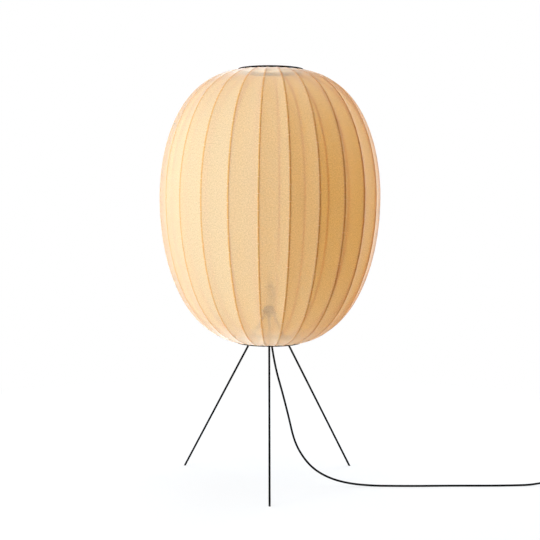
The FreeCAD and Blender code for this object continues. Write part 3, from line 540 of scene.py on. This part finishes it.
def stitch_pattern(tree):
    """Height of the knit, two slanted yarn legs in every stitch, and the length along the cloth."""
    place = node(tree, "SeparateXYZ", Vector=node(tree, "UVMap").outputs[0])
    wale = maths(tree, "MULTIPLY", place.outputs[0], 1 / STITCH_SIZE[0])
    course = maths(tree, "MULTIPLY", place.outputs[1], 1 / STITCH_SIZE[1])
    middle = maths(tree, "ABSOLUTE", maths(tree, "SUBTRACT", maths(tree, "FRACT", wale), 0.5))
    leg = maths(tree, "SINE", maths(tree, "MULTIPLY", middle, 2 * math.pi))
    slant = maths(tree, "ADD", course, maths(tree, "MULTIPLY", middle, STITCH_SLANT))
    wave = maths(tree, "SINE", maths(tree, "MULTIPLY", slant, 2 * math.pi))
    ridge = maths(tree, "ADD", maths(tree, "MULTIPLY", wave, 0.5), 0.5)
    return maths(tree, "MULTIPLY", leg, ridge), place.outputs[1]


def knit_material(name, length, colour, through, share, open_share):
    """Sheer knit: yarn that reflects and passes light, a nap of loose fibres, and open spots in the stitches."""
    material = bpy.data.materials.new(name)
    material.use_nodes = True
    tree = material.node_tree
    yarn = tree.nodes["Principled BSDF"]
    out = tree.nodes["Material Output"]
    height, along = stitch_pattern(tree)
    lengths = node(tree, "UVMap").outputs[0]
    grain = node(tree, "TexNoise", Vector=lengths, Scale=KNIT_GRAIN, Detail=3.0).outputs["Fac"]
    tone = ranged(tree, grain, *KNIT_TONES, *NOISE_RANGE)
    gap = tree.nodes.new("ShaderNodeAttribute")
    gap.attribute_name = "rib_gap"
    # Painted along each rib: a deeper, more saturated line, partly the doubled knit and partly painted shade,
    # with red lifted as a painted highlight
    rib_line_and_shade = ranged(tree, gap.outputs["Fac"], 1.0, 0.0, *RIB_LINE_SHADE_EDGE)
    deep_and_painted_shade = tuple(min(c * d, 1.0) for c, d in zip(colour, RIB_LINE_BACK_AND_PAINTED_SHADE))
    deep_through_and_painted_shade = tuple(c * d for c, d in zip(through, RIB_LINE_THROUGH_AND_PAINTED_SHADE))
    back = node(tree, "HueSaturation", Value=tone, Color=blended(tree, rib_line_and_shade, colour, deep_and_painted_shade))
    passed = node(tree, "HueSaturation", Value=tone, Color=blended(tree, rib_line_and_shade, through, deep_through_and_painted_shade))
    tree.links.new(back.outputs[0], yarn.inputs["Base Color"])
    yarn.inputs["Roughness"].default_value = 0.9
    yarn.inputs["Specular IOR Level"].default_value = 0.05
    yarn.inputs["Sheen Weight"].default_value = 1.0
    yarn.inputs["Sheen Roughness"].default_value = 0.4
    yarn.inputs["Sheen Tint"].default_value = (1.0, 0.99, 0.94, 1.0)
    tree.links.new(bumped(tree, height, STITCH_DEPTH, 0.5), yarn.inputs["Normal"])
    behind = node(tree, "BsdfTranslucent", Color=passed.outputs[0])
    clear = node(tree, "BsdfTransparent", Color=(0.98, 0.79, 0.48, 1.0))
    cloth = node(tree, "MixShader", i0=share, i1=yarn.outputs[0], i2=behind.outputs[0])
    nap = node(tree, "BsdfSheen", Color=(0.28, 0.35, 0.40, 1.0), Roughness=0.35)
    cloth = node(tree, "AddShader", i0=cloth.outputs[0], i1=nap.outputs[0])
    holes = ranged(tree, height, open_share * 1.6, open_share * 0.4)
    for start, end in (HEM_FADE_LOW, [length - fade for fade in HEM_FADE_HIGH]):
        holes = maths(tree, "MULTIPLY", holes, ranged(tree, along, HEM_OPEN, 1.0, start, end))
    whole = node(tree, "MixShader", i0=holes, i1=cloth.outputs[0], i2=clear.outputs[0])
    tree.links.new(whole.outputs[0], out.inputs["Surface"])
    return material


def glass_material(name):
    """Clear lamp glass with a faint unevenness."""
    material = bpy.data.materials.new(name)
    material.use_nodes = True
    tree = material.node_tree
    shader = tree.nodes["Principled BSDF"]
    shader.inputs["Base Color"].default_value = (0.98, 0.99, 0.99, 1)
    shader.inputs["Transmission Weight"].default_value = 1.0
    shader.inputs["Roughness"].default_value = 0.02
    shader.inputs["IOR"].default_value = 1.45
    tree.links.new(bumped(tree, noise(tree, 60.0), 0.0002, 0.2), shader.inputs["Normal"])
    return material


def dress(material, *nodes):
    """Gives CAD nodes a finish."""
    for name in nodes:
        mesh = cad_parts[name].data
        mesh.materials.clear()
        mesh.materials.append(material)


def place_piece(piece, material, slot, *replaced):
    """Puts a finish on a new piece, and lets it ride on the lamp in place of its CAD nodes."""
    piece.data.materials.append(material)
    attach(piece, "lamp")
    if replaced:
        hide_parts(*replaced)
    return piece


def add_floor():
    """White floor that keeps the shadow near the lamp, throws light back up there and runs out to white."""
    floor = mesh_object("floor", FLOOR_CORNERS, [[0, 1, 2, 3]], False)
    floor.location.z = -FLOOR_DROP
    material = bpy.data.materials.new("floor_white")
    material.use_nodes = True
    tree = material.node_tree
    shader = tree.nodes["Principled BSDF"]
    shader.inputs["Base Color"].default_value = (0.22, 0.22, 0.22, 1)
    shader.inputs["Roughness"].default_value = 0.9
    shader.inputs["Specular IOR Level"].default_value = 0.1
    spread = node(tree, "VectorMath", i0=tree.nodes.new("ShaderNodeTexCoord").outputs["Object"])
    spread.operation = "LENGTH"
    glow = ranged(tree, spread.outputs["Value"], FLOOR_GLOW, 0.0, *GLOW_EDGE)
    unseen = maths(tree, "SUBTRACT", 1.0, seen_only(tree, 1.0))
    strength = maths(tree, "ADD", seen_only(tree, FLOOR_SEEN), maths(tree, "MULTIPLY", unseen, glow))
    light = node(tree, "Emission", Strength=strength)
    lit = node(tree, "AddShader", i0=shader.outputs[0], i1=light.outputs[0])
    far_light = node(tree, "Emission", Strength=seen_only(tree, 1.0))
    far = ranged(tree, spread.outputs["Value"], 0.0, 1.0, *SHADOW_EDGE)
    whole = node(tree, "MixShader", i0=far, i1=lit.outputs[0], i2=far_light.outputs[0])
    tree.links.new(whole.outputs[0], tree.nodes["Material Output"].inputs["Surface"])
    floor.data.materials.append(material)


def seen_only(tree, strength):
    """A strength for what is seen straight, in a reflection or through glass, and none for other light."""
    path = tree.nodes.new("ShaderNodeLightPath")
    seen = maths(tree, "MAXIMUM", path.outputs["Is Camera Ray"], path.outputs["Is Glossy Ray"])
    seen = maths(tree, "MAXIMUM", seen, path.outputs["Is Transmission Ray"])
    seen = maths(tree, "MULTIPLY", seen, maths(tree, "SUBTRACT", 1.0, path.outputs["Is Diffuse Ray"]))
    return maths(tree, "MULTIPLY", seen, strength)


def add_world(ambient, overhead):
    """White surroundings that light the lamp only softly, most from above."""
    world = bpy.data.worlds.new("studio")
    scene.world = world
    world.use_nodes = True
    tree = world.node_tree
    way = node(tree, "SeparateXYZ", Vector=tree.nodes.new("ShaderNodeTexCoord").outputs["Generated"])
    rise = maths(tree, "POWER", maths(tree, "MAXIMUM", way.outputs[2], 0.0), 8.0)
    soft = maths(tree, "ADD", maths(tree, "MULTIPLY", rise, overhead), ambient)
    strength = maths(tree, "MAXIMUM", seen_only(tree, 1.0), soft)
    tree.links.new(strength, tree.nodes["Background"].inputs["Strength"])
    tree.nodes["Background"].inputs["Color"].default_value = (1, 1, 1, 1)


def add_light(name, place, aim, size, power, colour):
    """Soft rectangular studio light, unseen by the camera."""
    data = bpy.data.lights.new(name, "AREA")
    data.shape = "RECTANGLE"
    data.size, data.size_y = size
    data.energy = power
    data.color = colour
    light = linked(bpy.data.objects.new(name, data))
    light.location = place
    away = light.location - Vector(aim)
    light.rotation_euler = away.to_track_quat("Z", "Y").to_euler()
    light.visible_camera = False


add_camera()

sheath = finish("cord_sheath", (0.0025, 0.0025, 0.0027), (0.0050, 0.0050, 0.0052), (0.55, 0.68),
                1800.0, 0.00006, Specular_IOR_Level=0.02)
upper = cord_curve("cord_upper", DROP_ROUTE)
place_piece(upper, sheath, "cord_sheath", "cord_drop")
lower = cord_curve("cord_lower", LINK_ROUTE + coil_points() + TAIL_ROUTE)
place_piece(lower, sheath, "cord_sheath", "cord_link", "cord_coil", "cord_tail")
strap = finish("tie_strap", (0.006, 0.006, 0.0065), (0.014, 0.014, 0.015), (0.8, 0.95),
               2400.0, 0.0002, Specular_IOR_Level=0.1)
tie = place_piece(make_tie(), strap, "tie_strap", "coil_tie")
plated = finish("plated_steel", (0.50, 0.49, 0.46), (0.62, 0.61, 0.58), (0.28, 0.42),
                900.0, 0.00003, Metallic=1.0)
dress(plated, "nipple", "bracket_screws", "terminal_screws")
spring = place_piece(make_spring(), plated, "plated_steel", "switch_spring")
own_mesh(spring)

knit, rows = make_knit()
sheer = knit_material("knit_sheer", rows["at"][-1] * MM, (0.86, 0.905, 0.72), (0.93, 0.51, 0.09), 0.52, 0.25)
hem = knit_material("knit_hem", rows["at"][-1] * MM, (0.99, 0.94, 0.76), (0.97, 0.74, 0.36), 0.20, 0.03)
place_piece(knit, sheer, "knit", "shade_knit")
knit.data.materials.append(hem)
# The tape is coloured darker and more orange than the knit: painted shade along each rib's line.
tape = finish("rib_tape_and_painted_shade", (0.86, 0.60, 0.24), (0.93, 0.68, 0.30), (0.85, 0.95),
              2200.0, 0.0001, through=(0.98, 0.58, 0.14))
tunnels = place_piece(make_tunnels(rows), tape, "knit")
thread = finish("thread", (0.72, 0.55, 0.34), (0.80, 0.64, 0.42), (0.8, 0.9), 3000.0, 0.0001)
stitches = place_piece(make_stitches(rows), thread, "knit")

black = finish("black_powder_coat", (0.0025, 0.0025, 0.0027), (0.0045, 0.0045, 0.0047), (0.55, 0.68),
               1500.0, 0.00008, Specular_IOR_Level=0.02)
dress(black, "hub", "leg_front", "leg_right", "leg_left", "top_ring", "bottom_ring", "ring_brackets")
rods = finish("rib_rod", (0.74, 0.56, 0.32), (0.84, 0.66, 0.40), (0.4, 0.55), 1200.0, 0.00004)
dress(rods, *[f"rib_{n:02d}" for n in range(1, RIB_COUNT + 1)])
rubber = finish("black_rubber", (0.006, 0.006, 0.006), (0.011, 0.011, 0.011), (0.7, 0.85),
                1400.0, 0.0001, Specular_IOR_Level=0.15)
dress(rubber, "foot_tips", "switch_boots", "plug_boot", "cord_grip")
moulded = finish("black_plastic", (0.007, 0.007, 0.0075), (0.012, 0.012, 0.0125), (0.45, 0.6),
                 2600.0, 0.00008, Specular_IOR_Level=0.15)
dress(moulded, "switch_base", "switch_cover", "plug_body", "rib_caps")
pedal = finish("pedal_plastic", (0.010, 0.010, 0.0105), (0.016, 0.016, 0.0165), (0.25, 0.38),
               2000.0, 0.00004, Specular_IOR_Level=0.25)
dress(pedal, "switch_pedal")
white = finish("holder_white", (0.62, 0.58, 0.50), (0.70, 0.66, 0.58), (0.4, 0.5), 1600.0, 0.00005)
dress(white, "holder_cap", "holder_shell")
ceramic = finish("ceramic", (0.80, 0.79, 0.76), (0.87, 0.86, 0.84), (0.3, 0.5), 1200.0, 0.00005)
dress(ceramic, "holder_insert")
brass = finish("brass", (0.72, 0.50, 0.22), (0.80, 0.58, 0.28), (0.22, 0.38), 900.0, 0.00003, Metallic=1.0)
dress(brass, "thread_liner", "centre_contact")
cap_metal = finish("bulb_cap_metal", (0.66, 0.64, 0.60), (0.76, 0.74, 0.70), (0.2, 0.34),
                   900.0, 0.00003, Metallic=1.0)
dress(cap_metal, "bulb_cap")
nickel = finish("pin_nickel", (0.70, 0.68, 0.64), (0.80, 0.78, 0.74), (0.15, 0.26),
                800.0, 0.00002, Metallic=1.0)
dress(nickel, "plug_pins")
glass = glass_material("clear_glass")
dress(glass, "bulb_glass", "bulb_stem")
phosphor = finish("filament", (0.86, 0.55, 0.14), (0.92, 0.66, 0.24), (0.6, 0.75), 2200.0, 0.00006)
dress(phosphor, "bulb_filaments")

add_floor()
add_world(ambient=0.01, overhead=3.0)
add_light("key", (-2.9, -1.9, 1.2), (0, 0, 0.8), (1.6, 2.2), 204.0, (0.915, 0.99, 1.05))
add_light("rim_right", (1.75, 2.5, 1.0), (0, 0, 0.8), (0.8, 2.2), 64.0, (0.86, 0.98, 1.12))
add_light("top_right", (1.5, 1.0, 2.8), (0, 0, 0.9), (1.0, 1.0), 30.0, (0.86, 1.0, 1.16))
add_light("rim_left", (-2.3, 1.95, 1.0), (0, 0, 0.8), (0.8, 2.2), 60.0, (0.85, 0.97, 1.12))

scene.view_settings.view_transform = "Standard"
